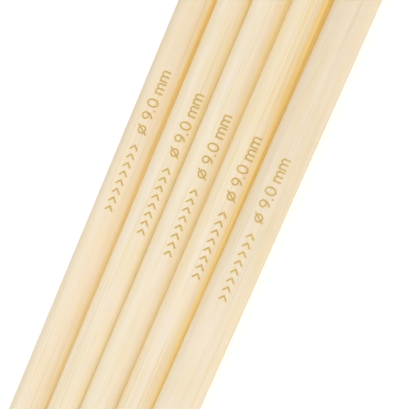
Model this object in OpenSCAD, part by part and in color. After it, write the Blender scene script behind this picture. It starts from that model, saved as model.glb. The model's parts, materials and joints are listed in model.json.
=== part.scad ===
// Set of five double pointed knitting needles, lying side by side in a slight fan.
// Millimetres. X runs along the needles, Z is up, and the needles lie on the plane Z = 0.
// The origin is the middle of the set's footprint.

/* [Needle] */
// Diameter of the shank
needle_d = 9; // [5:0.5:12]
// Length from point to point
needle_l = 200; // [150:1:300]
// Length of the pointed stretch at each end
point_l = 24; // [15:0.5:40]
// Radius of the rounded tip
tip_r = 1.1; // [0.6:0.1:2]
// How round the point's shoulder is, from nearly a plain cone to one long curve
shoulder = 0.7; // [0.1:0.05:0.95]

/* [Lay] */
// Gap between each needle and the next, where the shanks are closest
close_gap = [2.8, 0.8, 1.7, 1.3]; // [0.6:0.1:5]
// Angle that opens between each needle and the next
fan_step = [0.19, 0.48, 0.67, 0.97]; // [0:0.01:2]
// How far each needle is set forward of the next one
stagger = 1.9; // [0:0.1:5]

/* [Hidden] */
needle_count = len(close_gap) + 1;
indices = [0:needle_count - 1];
middle = floor(needle_count / 2);

needle_r = needle_d / 2;
shank_l = needle_l - 2 * point_l;
shank_end = shank_l / 2;

// A point is an arc that leaves the shank without an edge, a cone that the arc runs into, and the round tip.
tip_reach = point_l - tip_r;
longest_r = (pow(tip_reach, 2) + pow(needle_r, 2) - pow(tip_r, 2)) / (2 * (needle_r - tip_r));
shoulder_r = shoulder * longest_r;
reach = norm([tip_reach, shoulder_r - needle_r]);
cone_a = atan2(tip_reach, shoulder_r - needle_r) - acos((shoulder_r - tip_r) / reach);

// Radius and distance from the middle, where the arc meets the cone and where the cone meets the tip.
tip_end = shank_end + tip_reach;
arc_meets = [needle_r - shoulder_r * (1 - cos(cone_a)), shank_end + shoulder_r * sin(cone_a)];
tip_meets = [tip_r * cos(cone_a), tip_end + tip_r * sin(cone_a)];

// Lay of each needle, counted from the middle one, which lies along X.
function total(list, from, to) = from > to ? 0 : list[from] + total(list, from + 1, to);
function from_middle(list, i) = total(list, i, middle - 1) - total(list, middle, i - 1);
pitches = [for (gap = close_gap) needle_d + gap];
yaws = [for (i = indices) from_middle(fan_step, i)];
xs = [for (i = indices) (middle - i) * stagger];
ys = [for (i = indices) from_middle(pitches, i) + (xs[i] + shank_end) * tan(yaws[i])];

// Half the length and half the width that a needle covers when it lies at an angle.
function half_x(yaw) = (needle_l / 2 - tip_r) * cos(yaw) + tip_r;
function half_y(yaw) = shank_end * abs(sin(yaw)) + needle_r * cos(yaw);
ends_x = [for (i = indices, side = [-1, 1]) xs[i] + side * half_x(yaws[i])];
sides_y = [for (i = indices, side = [-1, 1]) ys[i] + side * half_y(yaws[i])];
footprint_mid = [max(ends_x) + min(ends_x), max(sides_y) + min(sides_y)] / 2;

// Outline of one point, from the needle's axis outwards.
module point_outline() {
    intersection() {
        translate([needle_r - shoulder_r, shank_end]) circle(r = shoulder_r, $fn = 720);
        translate([0, shank_end]) square([needle_r, arc_meets[1] - shank_end]);
    }
    polygon([[0, arc_meets[1]], arc_meets, tip_meets, [0, tip_meets[1]]]);
    intersection() {
        translate([0, tip_end]) circle(r = tip_r, $fn = 96);
        translate([0, tip_meets[1]]) square(2 * tip_r);
    }
}

// One solid needle along X, turned to a blunt point at both ends.
module needle() {
    rotate([0, 90, 0]) rotate_extrude($fn = 120) {
        translate([0, -shank_end]) square([needle_r, shank_l]);
        point_outline();
        mirror([0, 1]) point_outline();
    }
}

// A needle at its place in the set, resting on the plane below.
module laid_needle(i) {
    place = [xs[i], ys[i]] - footprint_mid;
    color("wheat") translate([place[0], place[1], needle_r]) rotate([0, 0, yaws[i]]) needle();
}

for (i = indices) laid_needle(i);
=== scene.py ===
"""Looks of a set of bamboo double pointed needles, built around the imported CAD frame. Metres, Z up."""

import json
import math
import random

import bpy
import numpy as np
from mathutils import Matrix, Vector


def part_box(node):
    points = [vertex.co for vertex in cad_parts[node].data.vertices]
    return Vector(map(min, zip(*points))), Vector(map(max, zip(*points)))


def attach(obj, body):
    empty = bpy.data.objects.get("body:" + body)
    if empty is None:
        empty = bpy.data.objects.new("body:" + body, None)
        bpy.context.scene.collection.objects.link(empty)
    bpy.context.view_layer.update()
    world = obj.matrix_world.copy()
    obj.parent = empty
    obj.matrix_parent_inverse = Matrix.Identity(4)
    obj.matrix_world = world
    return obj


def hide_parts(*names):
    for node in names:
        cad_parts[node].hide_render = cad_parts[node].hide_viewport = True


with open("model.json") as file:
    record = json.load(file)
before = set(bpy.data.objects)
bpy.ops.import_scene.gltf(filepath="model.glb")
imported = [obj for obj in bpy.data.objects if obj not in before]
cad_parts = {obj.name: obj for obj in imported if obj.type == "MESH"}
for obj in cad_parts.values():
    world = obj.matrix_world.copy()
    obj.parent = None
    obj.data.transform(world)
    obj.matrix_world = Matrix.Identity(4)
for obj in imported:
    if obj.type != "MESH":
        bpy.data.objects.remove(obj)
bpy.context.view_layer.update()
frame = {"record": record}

MM = 0.001

# The turned stick, with the point's shape as in the CAD model.
TIP_R = 1.1 * MM
POINT_L = 24 * MM
SHOULDER = 0.7

# The burnt mark: its length, the heights of its tall and its low signs, and the lengths of its two parts.
MARK_L = 31.8 * MM
CAP_H = 2.3 * MM
LOWER_H = 1.55 * MM
STITCHES, STITCHES_L = 8, 14.8 * MM
SIZE_L = 14.2 * MM

# The burnt line: its width, the depth of its groove, and how far down and how thick its burnt layer is.
LINE_W = 0.3 * MM
LINE_DEPTH = 0.06 * MM
BURNT_SINK = LINE_DEPTH * 0.62
BURNT_HALF_H = 0.018 * MM

# Where the groove's side and the scorched edge start and end, out from the line's middle.
GROOVE_SIDE = LINE_W * 0.35, LINE_W * 0.85
SCORCHED_EDGE = LINE_W * 0.4, LINE_W * 1.8

# The fine grid under the mark: its step, and its margins past the mark, along the needle and round it.
GRID = 0.11 * MM
MARGIN_ALONG = 0.6 * MM
MARGIN_ROUND = 0.75 * MM

# Steps of the rest: round the needle, along half the shank and along each stretch of the point.
ROUND_STEPS = 144
SHANK_RINGS = 40
SHOULDER_RINGS, CONE_RINGS, TIP_RINGS = 16, 12, 14

# Steps of the burnt layer, along a stroke and round it, and the angles of the rings in its round caps.
STROKE_STEP = 0.14 * MM
BEAD_SIDES = 10
CAP_ANGLES = np.radians((25, 50, 75))

# Angle of the camera above the floor, and the turn of each mark from facing it, in degrees.
ELEVATION = 40.0
MARK_TURN = {"needle_1": 14.0, "needle_2": 6.0, "needle_3": 1.0, "needle_4": 1.5, "needle_5": 7.0}


# ---------------------------------------------------------------- places from the frame


def needle_places():
    """Middle, direction, radius and length of each needle.

    The length comes from needle_3, which lies straight along X, and the rest from the record's mounts.
    """
    lo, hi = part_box("needle_3")
    places = {}
    for mount in frame["record"]["mounts"]:
        name = mount["name"].replace("shank", "needle")
        places[name] = {
            "middle": Vector(mount["pos_m"]),
            "along": Vector(mount["axis"]).normalized(),
            "radius": mount["dims"]["r_mm"] * MM,
            "length": hi.x - lo.x,
        }
    return places


def local_matrix(place):
    """Takes a needle's own frame, with X along it and Z up, to the row frame."""
    x = place["along"]
    z = Vector((0, 0, 1))
    rotation = Matrix((x, z.cross(x), z)).transposed().to_4x4()
    return Matrix.Translation(place["middle"]) @ rotation


# ---------------------------------------------------------------- the mark's drawing, in its own flat frame


def line(*points):
    """A stroke through the points, in metres, with points close enough to follow the shank's curve."""
    points = np.array(points, float)
    made = [points[:1]]
    for a, b in zip(points[:-1], points[1:]):
        steps = max(1, round(math.dist(a, b) / STROKE_STEP))
        made.append(a + (b - a) * np.linspace(0, 1, steps + 1)[1:, None])
    return [np.concatenate(made)]


def arc(centre, radii, start, end, steps):
    """A stroke along part of an ellipse, from one angle to another in degrees."""
    angles = np.radians(np.linspace(start, end, steps))
    x = centre[0] + radii[0] * np.cos(angles)
    y = centre[1] + radii[1] * np.sin(angles)
    return [np.stack([x, y], 1)]


# Each glyph gives its strokes and its width. It stands on the line y = 0, with its left edge at x = 0.


def glyph_chevron():
    """One knitted stitch, seen as a plain chevron."""
    reach = 0.9 * MM
    return line((0, 0), (reach, LOWER_H / 2), (0, LOWER_H)), reach


def glyph_diameter():
    """A ring with a slash that reaches past it at both ends."""
    r = 0.78 * MM
    middle = np.array((1.15 * r, CAP_H / 2))
    slash = np.array((1.05 * r, 1.4 * r))
    return arc(middle, (r, r), 0, 360, 37) + line(middle - slash, middle + slash), 2.3 * r


def glyph_nine():
    """A ring at the top, with a tail that bends down from its right side."""
    r = 0.68 * MM
    ring = (r, CAP_H - r)
    tail = arc((ring[0] - 1.1 * r, ring[1]), (2.1 * r, CAP_H - r), 0, -68, 14)
    return arc(ring, (r, r), 0, 360, 33) + tail, 2 * r


def glyph_nought():
    r = 0.76 * MM
    return arc((r, CAP_H / 2), (r, CAP_H / 2), 0, 360, 41), 2 * r


def glyph_point():
    return line((0.1 * MM, 0.05 * MM), (0.18 * MM, 0.05 * MM)), 0.28 * MM


def glyph_m():
    """A stem, then two arches with a leg each."""
    r = 0.54 * MM
    strokes = line((0, 0), (0, LOWER_H))
    for left in (0, 2 * r):
        strokes += arc((left + r, LOWER_H - r), (r, r), 180, 0, 14)
        strokes += line((left + 2 * r, LOWER_H - r), (left + 2 * r, 0))
    return strokes, 4 * r


def space():
    return [], 0.35 * MM


def set_in_row(glyphs, length):
    """Strokes of the glyphs set one after another with even gaps, to fill the length."""
    gap = (length - sum(width for _, width in glyphs)) / (len(glyphs) - 1)
    strokes, x = [], 0.0
    for shape, width in glyphs:
        strokes += [stroke + (x, 0) for stroke in shape]
        x += width + gap
    return strokes


def mark_strokes():
    """A row of knitted stitches, then the needle's size. The flat frame's origin is the mark's centre."""
    number = [glyph_nine(), glyph_point(), glyph_nought()]
    size = [glyph_diameter(), space(), *number, space(), glyph_m(), glyph_m()]
    stitches = set_in_row([glyph_chevron()] * STITCHES, STITCHES_L)
    strokes = [s + (-MARK_L / 2, (CAP_H - LOWER_H) / 2) for s in stitches]
    strokes += [s + (MARK_L / 2 - SIZE_L, 0) for s in set_in_row(size, SIZE_L)]
    return [s - (0, CAP_H / 2) for s in strokes]


STROKES = mark_strokes()


def distance_to_mark(points):
    """Distance from flat points to the middle of the nearest stroke."""
    nearest = np.full(len(points), np.inf)
    for stroke in STROKES:
        for a, b in zip(stroke[:-1], stroke[1:]):
            step = b - a
            t = np.clip(((points - a) @ step) / (step @ step), 0, 1)
            nearest = np.minimum(nearest, np.hypot(*(points - a - t[:, None] * step).T))
    return nearest


def smooth(low, high, value):
    """Rises from 0 at low to 1 at high, level at both."""
    t = np.clip((value - low) / (high - low), 0, 1)
    return t * t * (3 - 2 * t)


def press_mark(flat):
    """How deep the mark is pressed into the wood at flat points, and how burnt the wood is there.

    Only the points near the mark are measured. The others are too far away for it to reach them.
    """
    near = (abs(flat[:, 0]) < MARK_L / 2 + MM) & (abs(flat[:, 1]) < CAP_H)
    distance = np.full(len(flat), np.inf)
    distance[near] = distance_to_mark(flat[near])
    groove = LINE_DEPTH * (1 - smooth(*GROOVE_SIDE, distance))
    burn = 1 - smooth(*SCORCHED_EDGE, distance)
    return groove, burn


# ---------------------------------------------------------------- the turned body


def point_profile(radius, shank_end):
    """Distance along and radius of the point's rings: shoulder arc, cone and round tip."""
    reach = POINT_L - TIP_R
    longest = (reach**2 + radius**2 - TIP_R**2) / (2 * (radius - TIP_R))
    big = SHOULDER * longest
    span = math.hypot(reach, big - radius)
    cone = math.atan2(reach, big - radius) - math.acos((big - TIP_R) / span)
    tip = shank_end + reach
    shoulder = [
        (shank_end + big * math.sin(a), radius - big * (1 - math.cos(a)))
        for a in np.linspace(0, cone, SHOULDER_RINGS)
    ]
    end = [
        (tip + TIP_R * math.sin(a), TIP_R * math.cos(a))
        for a in np.linspace(cone, math.pi / 2, TIP_RINGS)[:-1]
    ]
    middle = np.linspace(shoulder[-1], end[0], CONE_RINGS)[1:-1]
    return [*shoulder, *middle, *end]


def needle_profile(place):
    """Rings from one tip to the other: (distance along, radius), fine where the mark is."""
    shank_end = place["length"] / 2 - POINT_L
    point = point_profile(place["radius"], shank_end)
    mark_end = MARK_L / 2 + MARGIN_ALONG
    fine = np.arange(-mark_end + GRID, mark_end, GRID)
    plain = np.linspace(mark_end, shank_end, SHANK_RINGS)[:-1]
    shank = [(x, place["radius"]) for x in [*-plain[::-1], *fine, *plain]]
    return [(-x, r) for x, r in reversed(point)] + shank + point


def turn_angles(place, facing):
    """Angles round the needle, fine across the mark, which faces the angle given.

    They fall from one to the next, so that the faces look outwards.
    """
    half = (CAP_H / 2 + MARGIN_ROUND) / place["radius"]
    fine = np.arange(-half, half, GRID / place["radius"])
    rest = np.linspace(half, 2 * math.pi - half, ROUND_STEPS)[:-1]
    return facing - np.concatenate([fine, rest])


def needle_surface(place, facing):
    """Local points of the rings, how burnt each is, and the numbers of rings and of steps round."""
    rings = np.array(needle_profile(place))
    angles = turn_angles(place, facing)
    x, a = np.meshgrid(rings[:, 0], angles, indexing="ij")
    across = ((a - facing + math.pi) % (2 * math.pi) - math.pi) * place["radius"]
    groove, burn = press_mark(np.stack([x.ravel(), across.ravel()], 1))
    r = rings[:, 1][:, None] - groove.reshape(x.shape)
    points = np.stack([x, -r * np.cos(a), r * np.sin(a)], -1).reshape(-1, 3)
    return points, burn, len(rings), len(angles)


def ring_faces(rings, steps, closed=False):
    """Quads between neighbouring rings, and from the last ring to the first where the row is closed."""
    i, j = np.meshgrid(np.arange(rings if closed else rings - 1), np.arange(steps), indexing="ij")
    next_i, next_j = (i + 1) % rings, (j + 1) % steps
    corners = [(i, j), (i, next_j), (next_i, next_j), (next_i, j)]
    return np.stack([ring * steps + step for ring, step in corners], -1).reshape(-1, 4).tolist()


def mesh_object(name, points, faces):
    mesh = bpy.data.meshes.new(name)
    mesh.from_pydata([tuple(p) for p in points], [], faces)
    mesh.validate()
    mesh.shade_smooth()
    thing = bpy.data.objects.new(name, mesh)
    bpy.context.scene.collection.objects.link(thing)
    return thing


def store_grain(mesh, points):
    """Keeps each point's local place, where the materials read it."""
    layer = mesh.attributes.new("grain", "FLOAT_VECTOR", "POINT")
    layer.data.foreach_set("vector", np.asarray(points, np.float32).ravel())


def store_burn(mesh, burn):
    """Keeps how burnt each point is, where the wood's material reads it."""
    layer = mesh.attributes.new("burn", "FLOAT", "POINT")
    layer.data.foreach_set("value", np.asarray(burn, np.float32))


def build_body(name, place, facing):
    """The needle's wood, with the mark pressed into it and a fan of faces at each tip."""
    points, burn, rings, steps = needle_surface(place, facing)
    half = place["length"] / 2
    points = np.vstack([points, [(-half, 0, 0), (half, 0, 0)]])
    first, last = len(points) - 2, len(points) - 1
    last_ring = (rings - 1) * steps
    faces = ring_faces(rings, steps)
    for j in range(steps):
        next_j = (j + 1) % steps
        faces.append((first, next_j, j))
        faces.append((last, last_ring + j, last_ring + next_j))
    body = mesh_object(name + "_wood", points, faces)
    store_grain(body.data, points)
    store_burn(body.data, np.append(burn, [0, 0]))
    return body


# ---------------------------------------------------------------- the burnt line lying in its groove


def on_shank(flat, place, facing):
    """Local point of a flat point of the mark, down in the groove, and the outward direction there."""
    angle = facing + flat[1] / place["radius"]
    out = np.array((0, -math.cos(angle), math.sin(angle)))
    return np.array((flat[0], 0, 0)) + out * (place["radius"] - BURNT_SINK), out


def direction(a, b):
    return (b - a) / np.hypot(*(b - a))


def round_corners(stroke):
    """The stroke with a small curve at each sharp corner, so that the bead keeps its width there."""
    gentle_turn = 0.8  # the cosine of the sharpest turn that stays as it is
    r = 0.06 * MM
    curve = np.linspace(0, 1, 6)
    made = [stroke[0]]
    for before, corner, after in zip(stroke[:-2], stroke[1:-1], stroke[2:]):
        inward, onward = direction(before, corner), direction(corner, after)
        if inward @ onward >= gentle_turn:
            made.append(corner)
            continue
        start, end = corner - inward * r, corner + onward * r
        made += [(1 - t) ** 2 * start + 2 * t * (1 - t) * corner + t * t * end for t in curve]
    return np.array([*made, stroke[-1]])


def bead_stations(stroke, closed):
    """Middle, direction and relative size of each ring of a bead, with round caps unless it is closed."""
    path = stroke[:-1] if closed else stroke
    last = len(path) - 1
    stations = []
    for k, point in enumerate(path):
        before = path[k - 1] if closed or k > 0 else point
        after = path[(k + 1) % len(path)] if closed or k < last else point
        stations.append((point, direction(before, after), 1.0))
    if closed:
        return stations
    caps = [(LINE_W / 2 * math.sin(a), math.cos(a)) for a in CAP_ANGLES]
    (first, leaving, _), (final, arriving, _) = stations[0], stations[-1]
    start = [(first - leaving * reach, leaving, size) for reach, size in reversed(caps)]
    end = [(final + arriving * reach, arriving, size) for reach, size in caps]
    return start + stations + end


def build_bead(stroke, place, facing):
    """Points and faces of a flat rounded bead along a stroke, which is a closed ring or has closed ends."""
    closed = np.allclose(stroke[0], stroke[-1])
    stations = bead_stations(stroke, closed)
    points = []
    for middle, along, size in stations:
        side = np.array((-along[1], along[0]))
        for phi in np.linspace(0, 2 * math.pi, BEAD_SIDES, endpoint=False):
            flat = middle + side * LINE_W / 2 * size * math.cos(phi)
            point, out = on_shank(flat, place, facing)
            points.append(point + out * BURNT_HALF_H * size * math.sin(phi))
    faces = ring_faces(len(stations), BEAD_SIDES, closed)
    if not closed:
        first_ring = range(BEAD_SIDES)
        last_ring = range(len(points) - BEAD_SIDES, len(points))
        faces += [list(reversed(first_ring)), list(last_ring)]
    return points, faces


def build_mark(name, place, facing):
    """The burnt lines, a thin layer in the groove."""
    points, faces = [], []
    for stroke in STROKES:
        bead, bead_faces = build_bead(round_corners(stroke), place, facing)
        faces += [[v + len(points) for v in face] for face in bead_faces]
        points += bead
    mark = mesh_object(name + "_mark", points, faces)
    store_grain(mark.data, points)
    return mark


# ---------------------------------------------------------------- materials

# The wood's palest, warmer and darkest tones on each needle.
TONES = {
    "needle_1": ((0.90, 0.785, 0.625, 1), (0.89, 0.765, 0.58, 1), (0.74, 0.54, 0.27, 1)),
    "needle_2": ((0.89, 0.79, 0.65, 1), (0.875, 0.765, 0.575, 1), (0.75, 0.56, 0.28, 1)),
    "needle_3": ((0.89, 0.80, 0.66, 1), (0.88, 0.78, 0.61, 1), (0.76, 0.58, 0.32, 1)),
    "needle_4": ((0.89, 0.79, 0.65, 1), (0.87, 0.74, 0.53, 1), (0.73, 0.53, 0.25, 1)),
    "needle_5": ((0.86, 0.755, 0.605, 1), (0.84, 0.72, 0.545, 1), (0.70, 0.53, 0.28, 1)),
}

# Tints, which the wood's colour is multiplied by.
# Painted shade: the golden shade of the crevices between the needles, low on their sides.
PAINTED_GOLDEN_SHADE = (1.11, 1.02, 0.55, 1)
# Painted shade: a darker brown shade at the foot of the sides, deep in the crevices.
PAINTED_CREVICE_SHADE = (0.87, 0.76, 0.52, 1)
# Painted light: a lighter rim high on the back of the needles.
PAINTED_RIM_LIGHT = (1.11, 1.04, 0.90, 1)
TAN = (0.95, 0.925, 0.89, 1)
# Painted light: warm bounce light in the shade low on the back.
PAINTED_BOUNCE_LIGHT = (1.05, 1.01, 0.88, 1)
STRAW = (0.97, 0.88, 0.60, 1)
HONEY = (1.0, 0.985, 0.90, 1)
SCORCHED = (1.02, 0.93, 0.66, 1)

# How strong each needle's painted side shade and light, and its tan tint, are. A pair is the strength at the
# -X and +X ends of the stretch where the tones change. "line" is the height of the soft edge of the painted
# golden shade low on the sides, in parts of the radius.
SIDES = {
    "needle_1": {
        "line": 0.18, "golden_shade_front": (0.35, 0.9), "golden_shade_back": 0.2,
        "crevice_shade_foot": (0.3, 0.65), "rim_light_back": 0.0, "tan": (0.0, 0.7),
    },
    "needle_2": {
        "line": 0.42, "golden_shade_front": (0.4, 0.5), "golden_shade_back": 0.35,
        "crevice_shade_foot": (0.0, 0.0), "rim_light_back": 1.0, "tan": (0.0, 0.4),
    },
    "needle_3": {
        "line": 0.24, "golden_shade_front": (0.35, 0.5), "golden_shade_back": 0.35,
        "crevice_shade_foot": (0.0, 0.0), "rim_light_back": 1.0, "tan": (0.0, 0.4),
    },
    "needle_4": {
        "line": 0.28, "golden_shade_front": (1.0, 0.8), "golden_shade_back": 0.35,
        "crevice_shade_foot": (0.15, 0.75), "rim_light_back": 1.0, "tan": (0.0, 0.0),
    },
    "needle_5": {
        "line": 0.27, "golden_shade_front": (0.0, 0.0), "golden_shade_back": 0.35,
        "crevice_shade_foot": (0.15, 0.05), "rim_light_back": 1.0, "tan": (0.0, 1.0),
    },
}
CHANGE_START, CHANGE_END = -35 * MM, 35 * MM

# The painted golden shade and the painted brown shade fade from the first distance to the second, and keep
# this much at the points.
FADE_START, FADE_END = 48 * MM, 82 * MM
LEFT_AT_POINTS = 0.25

# Needles with bolder fibre lines, and the stretch that the lines cover.
COARSE = {"needle_4": (12 * MM, 80 * MM)}
COARSE_FADE = 16 * MM

# The grain is seeded by the needle's name, apart from these, whose own seeds give a more even front.
OTHER_SEEDS = {"needle_1": "d"}


class Nodes:
    """Short ways to add and join a material's nodes."""

    def __init__(self, name):
        self.material = bpy.data.materials.new(name)
        self.material.use_nodes = True
        self.tree = self.material.node_tree
        self.shader = self.tree.nodes["Principled BSDF"]

    def add(self, kind, settings=None, **inputs):
        node = self.tree.nodes.new("ShaderNode" + kind)
        for key, value in (settings or {}).items():
            setattr(node, key, value)
        for key, value in inputs.items():
            self.put(node.inputs[key.replace("_", " ")], value)
        return node

    def put(self, socket, value):
        """Joins the socket to another node's output, or sets its value."""
        if isinstance(value, bpy.types.NodeSocket):
            self.tree.links.new(value, socket)
        else:
            socket.default_value = value

    def attribute(self, name):
        return self.add("Attribute", {"attribute_name": name})

    def math(self, operation, *values):
        node = self.add("Math", {"operation": operation})
        for socket, value in zip(node.inputs, values):
            self.put(socket, value)
        return node.outputs[0]

    def product(self, first, *others):
        """All the values multiplied together."""
        for other in others:
            first = self.math("MULTIPLY", first, other)
        return first

    def mix(self, factor, a, b, blend="MIX"):
        node = self.add("Mix", {"data_type": "RGBA", "blend_type": blend}, Factor=factor, A=a, B=b)
        return node.outputs["Result"]

    def tint(self, colour, tint, strength):
        """The colour multiplied by the tint, as far as the strength says."""
        return self.mix(strength, colour, self.mix(1.0, colour, tint, "MULTIPLY"))

    def remap(self, value, low, high, to_low=0.0, to_high=1.0):
        """Takes low to to_low and high to to_high, level past both. Low may be the higher one."""
        node = self.add("MapRange", {"interpolation_type": "SMOOTHSTEP"}, Value=value)
        for key, given in {"From Min": low, "From Max": high, "To Min": to_low, "To Max": to_high}.items():
            self.put(node.inputs[key], given)
        return node.outputs["Result"]

    def stretched(self, across, along, shift):
        """Coordinates of the wood whose unit is the size given, across the grain and along it, in mm."""
        scale = (1 / (along * MM), 1 / (across * MM), 1 / (across * MM))
        place = self.attribute("grain").outputs["Vector"]
        return self.add("Mapping", Vector=place, Location=shift, Scale=scale).outputs["Vector"]

    def noise(self, across, along, detail, rough, shift=(0.0, 0.0, 0.0)):
        """Noise from 0 to 1, whose patches have about the size given in millimetres."""
        place = self.stretched(across, along, shift)
        return self.add("TexNoise", Vector=place, Scale=1.0, Detail=detail, Roughness=rough).outputs["Fac"]

    def finish(self, colour, roughness, height, bump, bump_depth, gloss):
        """Joins everything to the shader and gives the material."""
        self.put(self.shader.inputs["Base Color"], colour)
        self.put(self.shader.inputs["Roughness"], roughness)
        relief = self.add("Bump", Height=height, Strength=bump, Distance=bump_depth)
        self.put(self.shader.inputs["Normal"], relief.outputs["Normal"])
        self.shader.inputs["Specular IOR Level"].default_value = gloss
        return self.material


def round_axes(n):
    """Place along the stick in metres, and the outward direction's parts to the back and up."""
    place = n.attribute("grain").outputs["Vector"]
    along = n.add("SeparateXYZ", Vector=place).outputs["X"]
    across = n.add("VectorMath", {"operation": "MULTIPLY"}, Vector=place)
    across.inputs[1].default_value = (0, 1, 1)
    outward = n.add("VectorMath", {"operation": "NORMALIZE"}, Vector=across.outputs["Vector"])
    parts = n.add("SeparateXYZ", Vector=outward.outputs["Vector"])
    return along, parts.outputs["Y"], parts.outputs["Z"]


def side_tints(n, colour, sides):
    """Painted shade and light on the sides: golden shade low down and browner shade at the foot, where the
    crevices between needles lie, a lighter rim high on the back, warm bounce light below that, and a tan tint
    that changes along the needle.
    """
    along, back, up = round_axes(n)

    def between_ends(key):
        return n.remap(along, CHANGE_START, CHANGE_END, *sides[key])

    edge, soft = sides["line"], 0.2
    inward = n.remap(n.math("ABSOLUTE", along), FADE_START, FADE_END, 1.0, LEFT_AT_POINTS)
    golden_shade = n.remap(back, -0.22, 0.22, between_ends("golden_shade_front"), sides["golden_shade_back"])
    low = n.remap(up, edge + soft, edge - soft)
    foot = n.remap(up, 0.22, 0.06)
    rim_light_mask = n.product(n.remap(back, -0.04, 0.3), n.remap(up, 0.5, 0.7))
    bounce_light_mask = n.product(n.remap(back, 0.1, 0.6), n.remap(up, 0.75, 0.35))
    # Painted shade: golden crevice shade low on the sides, fading towards the points.
    colour = n.tint(colour, PAINTED_GOLDEN_SHADE, n.product(low, golden_shade, inward))
    # Painted shade: browner crevice shade at the foot.
    colour = n.tint(colour, PAINTED_CREVICE_SHADE, n.product(foot, between_ends("crevice_shade_foot"), inward))
    # Painted light: lighter rim high on the back.
    colour = n.tint(colour, PAINTED_RIM_LIGHT, n.product(rim_light_mask, sides["rim_light_back"]))
    # Painted light: warm bounce light in the shade below the rim.
    colour = n.tint(colour, PAINTED_BOUNCE_LIGHT, bounce_light_mask)
    return n.tint(colour, TAN, between_ends("tan"))


def coarse_lines(n, shift, stretch):
    """How strong the bolder fibre lines are, over one stretch of the front."""
    along, back, up = round_axes(n)
    start, end = stretch
    noise = n.noise(across=0.28, along=80.0, detail=1.0, rough=0.4, shift=shift)
    lines = n.remap(noise, 0.47, 0.58, 0.0, 0.8)
    from_start = n.remap(along, start, start + COARSE_FADE)
    to_end = n.remap(along, end, end - COARSE_FADE)
    front = n.remap(back, 0.0, -0.33)
    below_top = n.remap(up, 0.96, 0.78)
    above_foot = n.remap(up, 0.11, 0.36)
    return n.product(lines, from_start, to_end, front, below_top, above_foot)


def wood_colour(n, needle, shift, streak, fibre, bundle):
    """The needle's own tones: broad and small patches, streaks, the bundles' dashes and fine fibres, then the
    painted shade and light of its sides.
    """
    pale, warm, dark = TONES[needle]
    broad = n.noise(across=3.0, along=60.0, detail=2.0, rough=0.5, shift=shift)
    patch = n.noise(across=1.5, along=9.0, detail=2.0, rough=0.6, shift=shift)
    colour = n.mix(n.remap(broad, 0.35, 0.7), pale, warm)
    colour = n.tint(colour, HONEY, n.remap(patch, 0.35, 0.65))
    colour = n.mix(n.remap(streak, 0.5, 0.8, 0.0, 0.29), colour, dark)
    colour = n.mix(n.product(bundle, 0.3), colour, dark)
    light = n.remap(fibre, 0.3, 0.7, 0.973, 1.02)
    grey = n.add("CombineColor", Red=light, Green=light, Blue=light).outputs["Color"]
    colour = n.mix(1.0, colour, grey, "MULTIPLY")
    if needle in COARSE:
        colour = n.tint(colour, STRAW, coarse_lines(n, shift, COARSE[needle]))
    return side_tints(n, colour, SIDES[needle])


def bamboo(needle, shift):
    """Pale waxed bamboo: lengthwise fibres and the darker dots and dashes of its bundles."""
    n = Nodes("bamboo_" + needle)
    streak = n.noise(across=0.5, along=30.0, detail=3.0, rough=0.6, shift=shift)
    fibre = n.noise(across=0.12, along=9.0, detail=2.0, rough=0.6, shift=shift)
    cell_place = n.stretched(across=0.62, along=45.0, shift=shift)
    cells = n.add("TexVoronoi", Vector=cell_place, Scale=1.0, Randomness=0.9)
    bundle = n.remap(cells.outputs["Distance"], 0.16, 0.34, 1.0, 0.0)
    burn = n.attribute("burn").outputs["Fac"]
    colour = wood_colour(n, needle, shift, streak, fibre, bundle)
    colour = n.tint(colour, SCORCHED, n.product(burn, 0.8))
    roughness = n.math("ADD", n.remap(streak, 0.3, 0.8, 0.40, 0.52), n.product(burn, 0.2))
    height = n.math("ADD", fibre, n.product(bundle, -0.6))
    return n.finish(colour, roughness, height, bump=0.35, bump_depth=0.012 * MM, gloss=0.25)


def burnt():
    """Bamboo browned by a fine hot beam, matt and a little uneven."""
    n = Nodes("burnt_bamboo")
    patch = n.noise(across=0.25, along=0.4, detail=3.0, rough=0.6)
    fibre = n.noise(across=0.1, along=3.0, detail=2.0, rough=0.6)
    colour = n.mix(n.remap(patch, 0.3, 0.7), (0.55, 0.375, 0.135, 1), (0.71, 0.52, 0.21, 1))
    colour = n.mix(n.remap(fibre, 0.45, 0.75, 0.0, 0.4), colour, (0.43, 0.28, 0.095, 1))
    roughness = n.remap(patch, 0.3, 0.7, 0.65, 0.8)
    return n.finish(colour, roughness, patch, bump=0.4, bump_depth=0.01 * MM, gloss=0.3)


# ---------------------------------------------------------------- the set


def build_needle(name, place, burnt_material):
    facing = math.radians(ELEVATION + MARK_TURN[name])
    seed = random.Random(OTHER_SEEDS.get(name, name))
    shift = tuple(seed.uniform(-40, 40) for _ in range(3))
    body = build_body(name, place, facing)
    body.data.materials.append(bamboo(name, shift))
    mark = build_mark(name, place, facing)
    mark.data.materials.append(burnt_material)
    for piece in (body, mark):
        piece.data.transform(local_matrix(place))
        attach(piece, name)
    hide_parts(name)


# ---------------------------------------------------------------- studio

# Angle of each softbox above the floor in front, in degrees, and its power in watts.
SOFTBOXES = {
    "low_softbox": (35, 3.3),
    "high_softbox": (55, 1.1),
    "top_softbox": (95, 1.15),
    "back_softbox": (115, 2.8),
}
WHITE = (1, 1, 1, 1)


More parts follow.
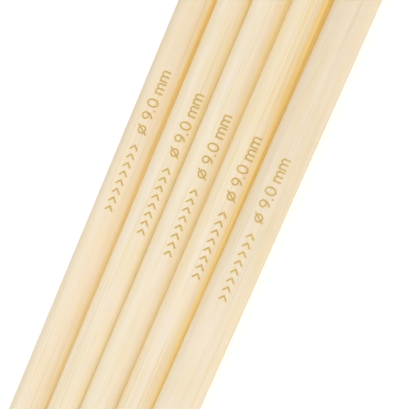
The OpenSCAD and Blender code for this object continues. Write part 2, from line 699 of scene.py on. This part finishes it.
def build_floor():
    """A wide white table that glows a little, so that it stays white in the picture."""
    half = 6.0
    corners = [(-half, -half, 0), (half, -half, 0), (half, half, 0), (-half, half, 0)]
    floor = mesh_object("floor", corners, [(0, 1, 2, 3)])
    n = Nodes("white_table")
    n.shader.inputs["Base Color"].default_value = (0.6, 0.6, 0.6, 1)
    n.shader.inputs["Roughness"].default_value = 0.7
    n.shader.inputs["Emission Color"].default_value = WHITE
    n.shader.inputs["Emission Strength"].default_value = 0.54
    floor.data.materials.append(n.material)


def softbox(name, rise, power):
    """A long softbox, parallel to the needles and a metre from them."""
    data = bpy.data.lights.new(name, "AREA")
    data.shape = "RECTANGLE"
    data.size, data.size_y = 0.8, 0.25
    data.energy = power
    lamp = bpy.data.objects.new(name, data)
    rise = math.radians(rise)
    lamp.location = (0, -math.cos(rise), math.sin(rise))
    lamp.rotation_euler = (-lamp.location).to_track_quat("-Z", "Y").to_euler()
    bpy.context.scene.collection.objects.link(lamp)


def build_lights():
    world = bpy.data.worlds.new("studio")
    world.use_nodes = True
    background = world.node_tree.nodes["Background"]
    background.inputs["Color"].default_value = WHITE
    background.inputs["Strength"].default_value = 0.39
    bpy.context.scene.world = world
    bpy.context.scene.view_settings.view_transform = "Standard"
    for name, (rise, power) in SOFTBOXES.items():
        softbox(name, rise, power)


def build_camera():
    """A long lens, whose picture turns the needles to run up to the right."""
    rise = math.radians(ELEVATION)
    roll = math.radians(67.06)
    target = Vector((-3.1 * MM, -3.6 * MM, 4.5 * MM))
    view_w = 85.8 * MM
    distance = 1.3
    back = Vector((0, -math.cos(rise), math.sin(rise)))
    flat_up = Vector((0, math.sin(rise), math.cos(rise)))
    along = Vector((1, 0, 0))
    right = along * math.cos(roll) - flat_up * math.sin(roll)
    up = along * math.sin(roll) + flat_up * math.cos(roll)
    data = bpy.data.cameras.new("camera")
    data.sensor_width = 36.0
    data.lens = data.sensor_width * distance / view_w
    data.clip_start, data.clip_end = 0.05, 30.0
    camera = bpy.data.objects.new("camera", data)
    turn = Matrix((right, up, back)).transposed().to_4x4()
    camera.matrix_world = Matrix.Translation(target + back * distance) @ turn
    bpy.context.scene.collection.objects.link(camera)
    bpy.context.scene.camera = camera


build_camera()
build_lights()
build_floor()
burnt_material = burnt()
for needle, place in needle_places().items():
    build_needle(needle, place, burnt_material)
